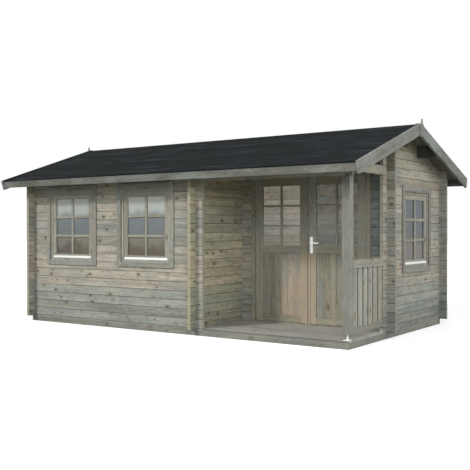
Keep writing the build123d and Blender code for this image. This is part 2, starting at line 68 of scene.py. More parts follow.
# Roof
ROOF_PITCH = math.radians(18.3)
RIDGE_HEIGHT = 2.615
SLOPE = math.tan(ROOF_PITCH)

# Windows
WINDOW_CENTRES = (0.817, 2.180)
SIDE_WINDOW_CENTRE = 1.990
WINDOW_BOTTOM = 0.830
CASING_WIDTH = 0.970
CASING_HEIGHT = 1.107
CASING_SIDE = 0.066
CASING_TOP = 0.083
CASING_FOOT = 0.065
CASING_THICKNESS = 0.018
CASING_LAP = 0.012
FRAME_FACE = 0.046
FRAME_DEPTH = 0.064
FRAME_STOP = 0.014
SASH_SET_BACK = 0.010
SASH_THICKNESS = 0.040
SASH_STILE = 0.055
SASH_FOOT = 0.046
SASH_GAP = 0.0006
GLASS_THICKNESS = 0.004
GLASS_BAR = 0.036
BAR_THICKNESS = 0.016
BEAD = 0.009

# Door leaves
LEAF_STILE = 0.112
LEAF_TOP_RAIL = 0.110
GLAZING_BOTTOM = 1.112
MIDDLE_RAIL = 0.098
LEAF_BOTTOM_RAIL = 0.090
PANEL_THICKNESS = 0.018
PANEL_BOARD = 0.092
LEAF_BAR = 0.026
LEAF_BAR_THICKNESS = 0.012
MEETING_STRIP_WIDTH = 0.030
MEETING_STRIP_THICKNESS = 0.008
MEETING_STRIP_DROP = 0.013

# Order of the woods in a leaf's boards
PLAIN_WOOD = 0
TAN_WOOD = 1
BAR_WOOD = 2
MEETING_WOOD = 3
PANEL_WOOD = 4

# Camera, from the walls' corners and the roof's edges in the photograph
CAMERA_PLACE = Vector((6.327, -9.120, 1.3206))
CAMERA_YAW = math.radians(34.4892)
CAMERA_DOWN = math.radians(0.39146)
CAMERA_ROLL = math.radians(-0.0879)
FOCAL_PIXELS = 773.975
PHOTO_WIDTH = 470.0
SENSOR_WIDTH = 36.0

# How much the boards' edges are eased
EDGE = 0.0015
STRIP_EDGE = 0.002
LEAF_EDGE = 0.003
BAR_EDGE = 0.004

# The most of a board's thickness that may go into easing an edge
EDGE_LIMIT = 0.4


def srgb(red, green, blue):
    """A colour as it is seen, 0 to 255, turned into the linear values that the nodes use."""
    linear = []
    for part in (red, green, blue):
        value = part / 255.0
        linear.append(value / 12.92 if value <= 0.04045 else ((value + 0.055) / 1.055) ** 2.4)
    return (*linear, 1.0)


class Shade:
    """A material's node tree, with short calls for what the materials share."""

    def __init__(self, name):
        self.material = bpy.data.materials.new(name)
        self.material.use_nodes = True
        self.tree = self.material.node_tree
        self.tree.nodes.clear()
        place = self.add("ShaderNodeTexCoord")
        self.position = place.outputs["Object"]
        self.normal = place.outputs["Normal"]
        parts = self.add("ShaderNodeSeparateXYZ")
        self.put(parts.inputs[0], self.position)
        self.x, self.y, self.z = parts.outputs

    def add(self, kind, **settings):
        node = self.tree.nodes.new(kind)
        for key, value in settings.items():
            setattr(node, key, value)
        return node

    def put(self, socket, value):
        """Links an output, or sets a plain value."""
        if isinstance(value, bpy.types.NodeSocket):
            self.tree.links.new(value, socket)
        else:
            socket.default_value = value

    def math(self, operation, *values):
        node = self.add("ShaderNodeMath", operation=operation)
        for socket, value in zip(node.inputs, values):
            self.put(socket, value)
        return node.outputs[0]

    def vector(self, operation, first, second=(0.0, 0.0, 0.0)):
        node = self.add("ShaderNodeVectorMath", operation=operation)
        self.put(node.inputs[0], first)
        self.put(node.inputs[1], second)
        return node.outputs["Value" if operation == "DOT_PRODUCT" else "Vector"]

    def scaled(self, vector, factor):
        node = self.add("ShaderNodeVectorMath", operation="SCALE")
        self.put(node.inputs[0], vector)
        self.put(node.inputs["Scale"], factor)
        return node.outputs["Vector"]

    def joined(self, x, y, z):
        node = self.add("ShaderNodeCombineXYZ")
        for socket, value in zip(node.inputs, (x, y, z)):
            self.put(socket, value)
        return node.outputs[0]

    def mix(self, factor, first, second, blend="MIX"):
        node = self.add("ShaderNodeMix", data_type="RGBA", blend_type=blend)
        self.put(node.inputs[0], factor)
        self.put(node.inputs[6], first)
        self.put(node.inputs[7], second)
        return node.outputs[2]

    def noise(self, vector, scale, detail=3.0, roughness=0.55):
        node = self.add("ShaderNodeTexNoise")
        self.put(node.inputs["Vector"], vector)
        self.put(node.inputs["Scale"], scale)
        self.put(node.inputs["Detail"], detail)
        self.put(node.inputs["Roughness"], roughness)
        return node.outputs[0]

    def cells(self, vector, scale):
        """Distance to the nearest of many scattered points, and a random colour for each."""
        node = self.add("ShaderNodeTexVoronoi")
        self.put(node.inputs["Vector"], vector)
        self.put(node.inputs["Scale"], scale)
        return node.outputs["Distance"], node.outputs["Color"]

    def random(self, number):
        node = self.add("ShaderNodeTexWhiteNoise", noise_dimensions="1D")
        self.put(node.inputs["W"], number)
        return node.outputs["Value"], node.outputs["Color"]

    def rise(self, value, low, high):
        """Zero below low, one above high, and smooth between them."""
        node = self.add("ShaderNodeMapRange", interpolation_type="SMOOTHSTEP")
        for socket, given in zip(node.inputs, (value, low, high, 0.0, 1.0)):
            self.put(socket, given)
        return node.outputs[0]

    def ramp(self, factor, stops):
        """Colours along a value, as pairs of place and colour."""
        node = self.add("ShaderNodeValToRGB")
        self.put(node.inputs[0], factor)
        places = node.color_ramp.elements
        while len(places) < len(stops):
            places.new(1.0)
        for element, (place, colour) in zip(places, stops):
            element.position = place
            element.color = colour
        return node.outputs[0]

    def finish(self, colour, roughness, height=None, depth=0.001, **sockets):
        shader = self.add("ShaderNodeBsdfPrincipled")
        self.put(shader.inputs["Base Color"], colour)
        self.put(shader.inputs["Roughness"], roughness)
        for key, value in sockets.items():
            self.put(shader.inputs[key.replace("_", " ")], value)
        if height is not None:
            bump = self.add("ShaderNodeBump")
            self.put(bump.inputs["Height"], height)
            self.put(bump.inputs["Distance"], depth)
            self.put(bump.inputs["Strength"], 1.0)
            self.put(shader.inputs["Normal"], bump.outputs[0])
        output = self.add("ShaderNodeOutputMaterial")
        self.put(output.inputs[0], shader.outputs[0])
        return self.material


# Wood

# Says that the grain and the boards are read from a piece's own faces
PIECES = "pieces"

# How much the marks are drawn out along the grain: streaks a lot, knots a little
GRAIN_STRETCH = 0.045
KNOT_STRETCH = 0.62
BOARD_SHIFT = 9.0

# How fine the marks are. A larger number makes smaller marks.
STREAK_SCALE = 95.0
BAND_SCALE = 17.0
DASH_SCALE = 52.0
CLOUD_SCALE = 3.2
STAIN_SCALE = 11.0
MOTTLE_SCALE = 42.0
RING_SCALE = 70.0
JOINT_SCALE = 7.0
KNOT_SCALE = 10.5
KNOT_EDGE_SCALE = 60.0

# A knot's smallest radius and how much larger it may be, as parts of the distance between knots
KNOT_RADIUS = 0.065
KNOT_GROWTH = 0.095

# How far the grain bends round a knot
KNOT_BEND = 0.03

# How strongly each mark covers the wood under it
DASH_STRENGTH = 0.34
CLOUD_STRENGTH = 0.58
STAIN_STRENGTH = 0.46
GREYER_STRENGTH = 0.36
BROWNER_STRENGTH = 0.26
KNOT_RING_STRENGTH = 0.42
KNOT_STRENGTH = 0.78
END_JOINT_STRENGTH = 0.45
FOOT_STRENGTH = 0.75

# How far one board's tone may be from another's, and a spot's from the wood around it
BOARD_CONTRAST = 0.11
SPOT_CONTRAST = 0.80
GRAIN_SPREAD = 0.16

SOFT_EDGE = 0.02
FOOT_FADE = 0.03

# Shares of the wide bands and of the fine streaks in the grain
BAND_SHARE = 0.55
STREAK_SHARE = 0.45

# Values between which each mark comes up. Where the second is the smaller one, it comes up downwards.
DASH_RISE = (0.60, 0.70)
CLOUD_RISE = (0.42, 0.66)
STAIN_RISE = (0.56, 0.74)
GREYER_RISE = (0.55, 1.0)
BROWNER_RISE = (0.45, 0.0)
KNOT_CORE = (0.75, 1.2)
KNOT_HALO = (1.0, 3.4)
KNOT_RIPPLE = 0.05
FACING_RISE = (0.6, 0.9)

# The dark joint between boards: how strong it is at least, and how much that changes along it
JOINT_STRENGTH = 0.45
JOINT_SPREAD = 0.6

# Relief and roughness
STREAK_HEIGHT = 0.5
KNOT_HEIGHT = -0.3
WOOD_RELIEF = 0.0012
WOOD_ROUGHNESS = 0.68
ROUGHNESS_SPREAD = 0.18

GREY = srgb(163, 163, 150)
COOL = srgb(146, 151, 150)
BROWN = srgb(140, 126, 104)
DARK = srgb(96, 90, 76)
# Dark of the joints, also laid on some faces as painted shade
DARK_JOINT_AND_SHADE = srgb(74, 67, 56)
KNOT = srgb(76, 66, 53)
KNOT_RING = srgb(122, 112, 93)

# Tones up the walls: cool at the foot, warm below the windows, greyer beside them,
# and darker at the top, which is painted shade under the roof
HEIGHT_TONES_AND_SHADE = (
    (0.00, srgb(222, 229, 230)),
    (0.16, srgb(235, 241, 240)),
    (0.21, srgb(255, 250, 242)),
    (0.36, srgb(255, 250, 243)),
    (0.42, srgb(246, 246, 240)),
    (0.50, srgb(232, 236, 237)),
    (0.58, srgb(255, 249, 242)),
    (0.72, srgb(250, 247, 238)),
    (0.86, srgb(238, 236, 222)),
)


class Wood(Shade):
    """Weathered softwood: streaks along the grain, knots, and a tone of its own for each board or log."""

    def __init__(self, name, grain, rule, seed):
        super().__init__(name)
        self.direction = self.grain_direction(grain)
        self.number, self.edge = self.board_numbers(rule)
        self.tone, scatter = self.random(self.math("ADD", self.number, seed))
        shift = self.scaled(scatter, BOARD_SHIFT)
        self.along = self.vector("DOT_PRODUCT", self.position, self.direction)
        self.stretched = self.drawn_out(GRAIN_STRETCH, shift)
        self.around = self.drawn_out(KNOT_STRETCH, shift)

    def grain_direction(self, grain):
        """The grain's direction, fixed or read from the piece's own faces."""
        if grain == PIECES:
            return self.add("ShaderNodeAttribute", attribute_name="grain").outputs["Vector"]
        return self.joined(*grain)

    def board_numbers(self, rule):
        """Which log or board a point is on, and how far it is from the nearest joint, in metres."""
        if rule == PIECES:
            node = self.add("ShaderNodeAttribute", attribute_name="board")
            return node.outputs["Fac"], None
        axis, start, width = rule
        value = {"x": self.x, "y": self.y, "z": self.z}[axis]
        count = self.math("DIVIDE", self.math("SUBTRACT", value, start), width)
        number = self.math("FLOOR", count)
        part = self.math("SUBTRACT", count, number)
        edge = self.math("MINIMUM", part, self.math("SUBTRACT", 1.0, part))
        return number, self.math("MULTIPLY", edge, width)

    def drawn_out(self, stretch, shift):
        """The position with its distances along the grain shortened, so that marks there come out long."""
        back = self.scaled(self.direction, self.math("MULTIPLY", self.along, 1.0 - stretch))
        return self.vector("ADD", self.vector("SUBTRACT", self.position, back), shift)

    def cover(self, colour, mask, strength, over):
        """Lays another colour over the wood where the mask is."""
        return self.mix(self.math("MULTIPLY", mask, strength), colour, over)

    def times(self, colour, tone):
        return self.mix(1.0, colour, tone, "MULTIPLY")

    def facing(self, direction):
        """One on faces that look along a direction, or the opposite way."""
        turned = self.math("ABSOLUTE", self.vector("DOT_PRODUCT", self.normal, direction))
        return self.rise(turned, *FACING_RISE)

    def knots(self, share):
        """Where the knots are, and where the wood bends round them."""
        distance, cell = self.cells(self.around, KNOT_SCALE)
        chance = self.add("ShaderNodeSeparateColor")
        self.put(chance.inputs[0], cell)
        present = self.rise(chance.outputs[0], 1.0 - share, 1.0 - share + SOFT_EDGE)
        radius = self.math("MULTIPLY_ADD", chance.outputs[1], KNOT_GROWTH, KNOT_RADIUS)
        uneven = self.noise(self.around, KNOT_EDGE_SCALE, 2.0)
        ripple = self.math("MULTIPLY_ADD", uneven, KNOT_RIPPLE, -KNOT_RIPPLE / 2)
        reach = self.math("DIVIDE", self.math("ADD", distance, ripple), radius)
        core = self.math("SUBTRACT", 1.0, self.rise(reach, *KNOT_CORE))
        halo = self.math("SUBTRACT", 1.0, self.rise(reach, *KNOT_HALO))
        return self.math("MULTIPLY", core, present), self.math("MULTIPLY", halo, present)

    def grained(self, tones, contrast, halo):
        """Colour of the bare wood, with how light its grain is and the fine streaks in it."""
        push = self.scaled(self.direction, self.math("MULTIPLY", halo, KNOT_BEND))
        bend = self.vector("ADD", self.stretched, push)
        streaks = self.noise(bend, STREAK_SCALE, 4.0, 0.62)
        bands = self.noise(bend, BAND_SCALE, 3.0, 0.5)
        amount = self.math("MULTIPLY_ADD", bands, BAND_SHARE, self.math("MULTIPLY", streaks, STREAK_SHARE))
        light, middle, dark = tones
        spread = GRAIN_SPREAD / contrast
        colour = self.ramp(amount, ((0.5 - spread, dark), (0.5, middle), (0.5 + spread, light)))
        dashes = self.rise(self.noise(bend, DASH_SCALE, 2.0, 0.5), *DASH_RISE)
        return self.cover(colour, dashes, DASH_STRENGTH, DARK), amount, streaks

    def weathered(self, colour):
        """Grey clouds and stains, and some boards greyer or browner than the others."""
        clouds = self.rise(self.noise(self.around, CLOUD_SCALE, 4.0, 0.6), *CLOUD_RISE)
        stains = self.rise(self.noise(self.around, STAIN_SCALE, 4.0, 0.65), *STAIN_RISE)
        greyer = self.rise(self.tone, *GREYER_RISE)
        browner = self.rise(self.tone, *BROWNER_RISE)
        colour = self.cover(colour, clouds, CLOUD_STRENGTH, COOL)
        colour = self.cover(colour, stains, STAIN_STRENGTH, DARK)
        colour = self.cover(colour, greyer, GREYER_STRENGTH, GREY)
        return self.cover(colour, browner, BROWNER_STRENGTH, BROWN)

    def toned_by_height(self, colour):
        """Each log's tone by its height on the wall, with painted shade on the highest logs."""
        place = self.math("MULTIPLY_ADD", self.number, LOG_COURSE / RIDGE_HEIGHT, FIRST_JOINT / RIDGE_HEIGHT)
        return self.times(colour, self.ramp(place, HEIGHT_TONES_AND_SHADE))

    def shading(self, level):
        """How light each board is, with small spots, as a grey to multiply by."""
        between = self.vector("ADD", self.scaled(self.around, 0.5), self.scaled(self.stretched, 0.5))
        mottle = self.noise(between, MOTTLE_SCALE, 4.0, 0.7)
        spots = self.math("MULTIPLY_ADD", mottle, SPOT_CONTRAST, 1.0 - SPOT_CONTRAST / 2)
        board = self.math("MULTIPLY_ADD", self.tone, BOARD_CONTRAST, level - BOARD_CONTRAST / 2)
        value = self.math("MULTIPLY", board, spots)
        return self.joined(value, value, value)

    def open_joint(self, width):
        """One in the joint between two boards."""
        return self.math("SUBTRACT", 1.0, self.rise(self.edge, width * 0.25, width))

    def end_colour(self, ends, shading, joint):
        """Colour of a sawn end, with its rings and the joint that crosses it."""
        rings = self.noise(self.position, RING_SCALE, 3.0)
        colour = self.times(self.mix(rings, ends, self.mix(0.5, ends, BROWN)), shading)
        if joint is None:
            return colour
        return self.cover(colour, joint, END_JOINT_STRENGTH, DARK_JOINT_AND_SHADE)

    def toned_foot(self, colour, amount, top, tone):
        """Another tone below a height; on the balustrade's lower rail it is painted shade."""
        below = self.rise(self.z, top + FOOT_FADE, top - FOOT_FADE)
        lively = self.mix(amount, self.mix(0.35, tone, DARK), tone)
        return self.cover(colour, below, FOOT_STRENGTH, lively)

    def toned_zone(self, colour, start, end, over):
        """A tone over the wood between two places along X, mostly painted light or shade."""
        inside = self.math("MULTIPLY", self.rise(self.x, start, start + SOFT_EDGE),
                           self.rise(self.x, end, end - SOFT_EDGE))
        return self.mix(inside, colour, self.times(colour, over))


def wood(name, grain, rule, tones, knots=0.5, joint=0.0, seed=0.0, by_height=False, level=1.0, contrast=1.0,
         ends=None, shaded=None, foot=None, zones=(), sheen=0.22):
    """A material of weathered softwood.

    `grain` is the grain's direction, and `rule` says how boards are told apart along an axis.
    `tones` are a light, a middle and a dark colour. `joint` is the width of the dark joint between boards.
    `ends` is the colour of faces across the grain.
    `shaded` is a direction whose faces get painted shade, and how strong it is.
    `level` makes the whole wood lighter or darker; on some copies below that is painted light or shade.
    `foot` is a height and a colour: below that height the wood tends to the colour.
    `zones` are pairs of places along X, each with a tone that lies over the wood between the two; here mostly
    painted light or shade.
    """
    made = Wood(name, grain, rule, seed)
    core, halo = made.knots(knots)
    colour, amount, streaks = made.grained(tones, contrast, halo)
    colour = made.weathered(colour)
    if by_height:
        colour = made.toned_by_height(colour)
    shading = made.shading(level)
    colour = made.times(colour, shading)
    colour = made.cover(colour, halo, KNOT_RING_STRENGTH, KNOT_RING)
    colour = made.cover(colour, core, KNOT_STRENGTH, KNOT)
    height = made.math("MULTIPLY_ADD", streaks, STREAK_HEIGHT, made.math("MULTIPLY", core, KNOT_HEIGHT))
    gap = None
    if joint:
        gap = made.open_joint(joint)
        uneven = made.noise(made.stretched, JOINT_SCALE)
        patchy = made.math("MULTIPLY_ADD", uneven, JOINT_SPREAD, JOINT_STRENGTH)
        colour = made.cover(colour, gap, patchy, DARK_JOINT_AND_SHADE)
        height = made.math("SUBTRACT", height, gap)
    if ends is not None:
        colour = made.mix(made.facing(made.direction), colour, made.end_colour(ends, shading, gap))
    if foot is not None:
        colour = made.toned_foot(colour, amount, *foot)
    # Painted shade on the faces that look along a direction
    if shaded is not None:
        direction, strength = shaded
        colour = made.cover(colour, made.facing(direction), strength, DARK_JOINT_AND_SHADE)
    for start, end, over in zones:
        colour = made.toned_zone(colour, start, end, over)
    roughness = made.math("MULTIPLY_ADD", streaks, ROUGHNESS_SPREAD, WOOD_ROUGHNESS)
    return made.finish(colour, roughness, height, WOOD_RELIEF, Specular_IOR_Level=sheen)


TRIM = (srgb(187, 183, 169), srgb(166, 164, 152), srgb(132, 132, 122))
EDGING = (srgb(144, 144, 140), srgb(124, 125, 120), srgb(96, 97, 91))
FASCIA = (srgb(99, 99, 93), srgb(80, 80, 74), srgb(57, 57, 52))
LOGS = (srgb(205, 199, 188), srgb(183, 179, 170), srgb(146, 145, 138))
POST = (srgb(126, 127, 120), srgb(110, 111, 105), srgb(86, 87, 81))
CASING = (srgb(173, 169, 158), srgb(153, 151, 141), srgb(120, 121, 114))
FRAMES = (srgb(182, 179, 164), srgb(164, 161, 147), srgb(134, 132, 119))
DOOR = (srgb(178, 172, 154), srgb(162, 157, 140), srgb(136, 132, 116))
TAN = (srgb(185, 167, 145), srgb(168, 152, 132), srgb(146, 131, 113))
# Under the roof: the roof boards' tones are partly, and the purlins' tones mostly, painted shade
SOFFIT_AND_SHADE = (srgb(106, 100, 80), srgb(90, 85, 68), srgb(72, 67, 52))
PURLIN_SHADE = (srgb(40, 38, 30), srgb(32, 31, 24), srgb(24, 23, 18))
FLOOR = (srgb(196, 193, 184), srgb(178, 176, 168), srgb(150, 148, 140))
END_GRAIN = srgb(175, 172, 160)
DARK_END = srgb(122, 104, 80)
PURLIN_END = srgb(84, 78, 62)
LOW_RAIL_SHADE = srgb(150, 149, 139)

ALONG_X = (1.0, 0.0, 0.0)
ALONG_Y = (0.0, 1.0, 0.0)
ALONG_Z = (0.0, 0.0, 1.0)
DOWN_FRONT = (0.0, math.cos(ROOF_PITCH), math.sin(ROOF_PITCH))
DOWN_REAR = (0.0, math.cos(ROOF_PITCH), -math.sin(ROOF_PITCH))

# How boards are told apart: an axis, where the first board starts on it and how wide each is
LONG_LOGS = ("z", FIRST_JOINT, LOG_COURSE)
CROSS_LOGS = ("z", FIRST_JOINT + LOG_COURSE / 2, LOG_COURSE)
FLOOR_BOARDS = ("y", FRONT, 0.104)
ROOF_BOARDS = ("x", -2.9, 0.096)
BASE_BEAMS = ("z", -1.0, 4.0)
PURLINS = ("y", -3.0, 0.3)
FRONT_AND_REAR = ("y", -3.0, 0.7)
RAILS = ("z", -0.2, 0.5)
UPRIGHTS = ("x", -3.0, 0.3)
JAMBS = ("x", -3.0, 0.4)
EACH_GABLE = ("x", -3.0, 1.5)
BALUSTERS = ("y", FRONT + 0.127, 0.1345)

# Places along X with a tone laid over the wood: painted shade on the log ends outside the right gable
# and in the corner beside the door, a slightly darker tone on the gable window's casing, and warm painted
# light on the side wall of the veranda
PAST_GABLE_PAINTED_SHADE = (RIGHT, RIGHT + 0.3, srgb(228, 233, 236))
DOOR_CORNER_PAINTED_SHADE = (2.20, RIGHT, srgb(200, 212, 224))
GABLE_CASING = (RIGHT - 0.1, RIGHT + 0.1, srgb(240, 241, 242))
WARM_PAINTED_LIGHT = (LEFT, RIGHT, srgb(255, 253, 238))

STACKED = {"tones": LOGS, "knots": 0.72, "joint": 0.0048, "by_height": True}

# The long logs' ends outside the right gable get painted shade.
log_x = wood("log_wood_long", ALONG_X, LONG_LOGS, seed=3.0, ends=END_GRAIN, zones=(PAST_GABLE_PAINTED_SHADE,), **STACKED)
log_y = wood("log_wood_cross", ALONG_Y, CROSS_LOGS, seed=41.0, ends=END_GRAIN, **STACKED)
# The veranda's side wall is a lighter, warmer copy of the cross logs: painted light on that wall.
veranda_wall_lit_y = wood("veranda_wall_painted_light_wood", ALONG_Y, CROSS_LOGS, seed=41.0, level=1.05, ends=END_GRAIN,
                      zones=(WARM_PAINTED_LIGHT,), **STACKED)
# The door wall's logs get painted shade in the corner beside the door and on their ends outside the right
# gable.
door_wall_x = wood("door_wall_wood", ALONG_X, LONG_LOGS, seed=3.0, ends=END_GRAIN,
                   zones=(DOOR_CORNER_PAINTED_SHADE, PAST_GABLE_PAINTED_SHADE), **STACKED)
side_log_y = wood("side_log_wood", ALONG_Y, CROSS_LOGS, seed=43.0, ends=DARK_END, **STACKED)
base_x = wood("base_wood_long", ALONG_X, BASE_BEAMS, TRIM, 0.4, seed=5.0, level=0.70)
base_y = wood("base_wood_cross", ALONG_Y, BASE_BEAMS, TRIM, 0.4, seed=6.0, level=0.70)
floor_x = wood("floor_boards", ALONG_X, FLOOR_BOARDS, FLOOR, 0.35, joint=0.005, seed=8.0)
# The roof boards' underside and the purlins also get a lower level: painted shade under the roof.
soffit_front = wood("soffit_boards_front", DOWN_FRONT, ROOF_BOARDS, SOFFIT_AND_SHADE, 0.5, joint=0.004, seed=11.0,
                    level=0.86)
soffit_rear = wood("soffit_boards_rear", DOWN_REAR, ROOF_BOARDS, SOFFIT_AND_SHADE, 0.5, joint=0.004, seed=12.0,
                   level=0.86)
purlin_in_shade_x = wood("purlin_painted_shade_wood", ALONG_X, PURLINS, PURLIN_SHADE, 0.4, seed=14.0, level=0.42, ends=PURLIN_END,
              sheen=0.03)
fascia_x = wood("fascia_wood", ALONG_X, FRONT_AND_REAR, FASCIA, 0.5, seed=16.0, level=0.80, contrast=1.3)
trim_x = wood("trim_wood_long", ALONG_X, FRONT_AND_REAR, TRIM, 0.4, seed=17.0)
# Below 0.40 m, on the lower rail, the rails tend to a darker tone: painted shade.
trim_y = wood("trim_wood_cross", ALONG_Y, RAILS, TRIM, 0.4, seed=18.0, level=1.12, contrast=1.3,
              foot=(0.40, LOW_RAIL_SHADE))
# The post is lifted as a whole and its front and back faces get painted shade, so its side faces look lit:
# painted light and shade.
trim_z = wood("trim_wood_upright", ALONG_Z, UPRIGHTS, POST, 0.4, seed=19.0, level=1.24, contrast=1.2,
              shaded=(ALONG_Y, 0.38))
finial_z = wood("finial_wood", ALONG_Z, EACH_GABLE, EDGING, 0.2, seed=20.0)
# The balusters' faces that face each other across the narrow gaps get painted shade.
baluster_z = wood("baluster_wood", ALONG_Z, BALUSTERS, TRIM, 0.4, seed=23.0, level=1.08,
                  shaded=(ALONG_Y, 0.8))
barge_front = wood("barge_wood_front", DOWN_FRONT, EACH_GABLE, EDGING, 0.5, seed=25.0)
barge_rear = wood("barge_wood_rear", DOWN_REAR, EACH_GABLE, EDGING, 0.5, seed=26.0)
jamb_z = wood("door_frame_wood", ALONG_Z, JAMBS, DOOR, 0.3, seed=27.0)
trim_pieces = wood("casing_wood", PIECES, PIECES, CASING, 0.35, seed=31.0, contrast=1.3,
                   zones=(GABLE_CASING,))
frame_pieces = wood("sash_wood", PIECES, PIECES, FRAMES, 0.25, seed=33.0)
door_pieces = wood("door_wood", PIECES, PIECES, DOOR, 0.25, seed=35.0, level=0.97)
meeting_pieces = wood("door_meeting_wood", PIECES, PIECES, DOOR, 0.2, seed=36.0,
                      foot=(GLAZING_BOTTOM - MIDDLE_RAIL, TAN[0]))
tan_pieces = wood("door_panel_wood", PIECES, PIECES, TAN, 0.15, seed=37.0)
panel_pieces = wood("door_grey_panel_wood", PIECES, PIECES, DOOR, 0.2, seed=38.0, level=0.88)
bar_pieces = wood("bar_wood", PIECES, PIECES, FRAMES, 0.1, seed=39.0)


# Roof felt, glass and metal

# Felt and metal
FELT_GRIT = (srgb(11, 14, 16), srgb(27, 32, 34))
FELT_STREAK = srgb(56, 65, 67)
FELT_PATCH = srgb(18, 21, 23)
FELT_STRETCH = 0.16
FELT_STREAK_RISE = (0.48, 0.78)
FELT_RELIEF = 0.0012
METAL_WEAR_RISE = (0.55, 0.8)
METAL_RELIEF = 0.00015

# The panes' height on the wall, and the reflection painted on them from their foot to their top
PANES_BOTTOM = WINDOW_BOTTOM + 0.17
PANES_HEIGHT = 0.77
MIRRORED_TONES = (
    (0.05, srgb(126, 118, 104)),
    (0.27, srgb(142, 138, 128)),
    (0.38, srgb(126, 132, 134)),
    (0.60, srgb(134, 142, 146)),
    (0.76, srgb(196, 201, 198)),
    (0.95, srgb(214, 216, 206)),
)
MIRROR_DRIFT = 0.30
SHRUBS = srgb(84, 74, 60)
SHRUBS_RISE = (0.74, 0.52)
SHRUBS_STRENGTH = 0.55
WINDOW_REFLECTION_OPACITY = 0.80

# The reflection painted on the gable's window, and where its panes begin along X
GABLE_SHRUBS = srgb(106, 101, 92)
GABLE_SKY = srgb(90, 98, 106)
GABLE_RISE = (0.15, 0.5)
GABLE_PANES = RIGHT - 0.10

# The reflection painted on the doors' glass: the eaves painted in between two heights, and painted glints of
# sky in them
EAVES_RISE = (1.35, 1.62)
PAINTED_EAVES_REFLECTION = srgb(84, 82, 70)
EAVES_STRENGTH = 0.10
SKY_RISE = (0.60, 0.68)
SKY_GLINT = srgb(206, 214, 214)
SKY_STRENGTH = 0.4
GLASS_SHINE = 0.35


def felt():
    """Dark mineral felt: fine grit, and faint pale streaks along the strips."""
    shade = Shade("roof_felt")
    grit = shade.noise(shade.position, scale=900.0, detail=2.0)
    stretched = shade.joined(shade.math("MULTIPLY", shade.x, FELT_STRETCH), shade.y, shade.z)
    streak = shade.rise(shade.noise(stretched, scale=9.0, detail=4.0, roughness=0.6), *FELT_STREAK_RISE)
    patch = shade.noise(shade.position, scale=1.6)
    base = shade.mix(grit, *FELT_GRIT)
    base = shade.mix(shade.math("MULTIPLY", streak, 0.9), base, FELT_STREAK)
    base = shade.mix(shade.math("MULTIPLY", patch, 0.4), base, FELT_PATCH)
    return shade.finish(base, roughness=0.92, height=grit, depth=FELT_RELIEF, Specular_IOR_Level=0.08)


def window_glass():
    """Glass with a painted reflection in its colour, sky above and dark shrubs below, and the room faint
    behind it.

    The gable's window has a plainer, darker painted reflection of the garden.
    """
    shade = Shade("window_glass")
    place = shade.math("DIVIDE", shade.math("SUBTRACT", shade.z, PANES_BOTTOM), PANES_HEIGHT)
    uneven = shade.noise(shade.position, scale=5.0, detail=4.0)
    drift = shade.math("MULTIPLY_ADD", uneven, MIRROR_DRIFT, -MIRROR_DRIFT / 2)
    place = shade.math("ADD", place, drift)
    colour = shade.ramp(place, MIRRORED_TONES)
    shrubs = shade.rise(shade.math("ADD", shade.noise(shade.position, scale=4.2), place), *SHRUBS_RISE)
    colour = shade.mix(shade.math("MULTIPLY", shrubs, SHRUBS_STRENGTH), colour, SHRUBS)
    plain = shade.mix(shade.rise(place, *GABLE_RISE), GABLE_SHRUBS, GABLE_SKY)
    gable = shade.rise(shade.x, GABLE_PANES, GABLE_PANES + SOFT_EDGE)
    colour = shade.mix(gable, colour, plain)
    return shade.finish(colour, roughness=0.06, Alpha=WINDOW_REFLECTION_OPACITY, Specular_IOR_Level=GLASS_SHINE)


def door_glass(name, low_reflection, high_reflection, reflection_opacity, glints):
    """Clear glass through which the rear wall shows, with a faint reflection of the garden painted in its
    colour.

    The painted reflection is darker above, where the eaves would be mirrored. `glints` is how bright
    the painted glints of sky in it are.
    """
    shade = Shade(name)
    colour = shade.mix(shade.noise(shade.position, scale=5.0, detail=4.0), low_reflection, high_reflection)
    above = shade.rise(shade.z, *EAVES_RISE)
    colour = shade.mix(above, colour, PAINTED_EAVES_REFLECTION)
    spots = shade.rise(shade.noise(shade.position, scale=11.0, detail=2.0), *SKY_RISE)
    sky = shade.math("MULTIPLY", shade.math("MULTIPLY", spots, above), glints)
    colour = shade.mix(sky, colour, SKY_GLINT)
    opaque = shade.math("MULTIPLY_ADD", above, EAVES_STRENGTH, reflection_opacity)
    opaque = shade.math("ADD", opaque, shade.math("MULTIPLY", sky, SKY_STRENGTH))
    return shade.finish(colour, roughness=0.05, Alpha=opaque, Specular_IOR_Level=GLASS_SHINE)


def metal(name, colour, worn, roughness, metallic):
    """Painted or bare metal with fine brushing and faint wear."""
    shade = Shade(name)
    fine = shade.noise(shade.position, scale=240.0)
    patch = shade.rise(shade.noise(shade.position, scale=22.0, detail=4.0), *METAL_WEAR_RISE)
    mixed = shade.mix(shade.math("MULTIPLY", patch, 0.5), colour, worn)
    rough = shade.math("MULTIPLY_ADD", fine, 0.12, roughness)
    return shade.finish(mixed, rough, height=fine, depth=METAL_RELIEF, Metallic=metallic)


roof_felt = felt()
glass_windows = window_glass()
# The doors' glass: a faint painted reflection, with painted glints of sky on the right leaf only.
glass_left = door_glass("left_door_glass", srgb(132, 132, 120), srgb(172, 172, 160), reflection_opacity=0.14, glints=0.0)
glass_right = door_glass("right_door_glass", srgb(70, 76, 68), srgb(150, 158, 152), reflection_opacity=0.36, glints=0.8)
white_metal = metal("white_metal", srgb(246, 247, 245), srgb(214, 216, 212), roughness=0.30, metallic=0.0)
handle_metal = metal("handle_metal", srgb(236, 238, 236), srgb(196, 198, 196), roughness=0.22, metallic=0.55)
dull_metal = metal("dull_steel", srgb(150, 148, 138), srgb(124, 118, 106), roughness=0.6, metallic=0.15)

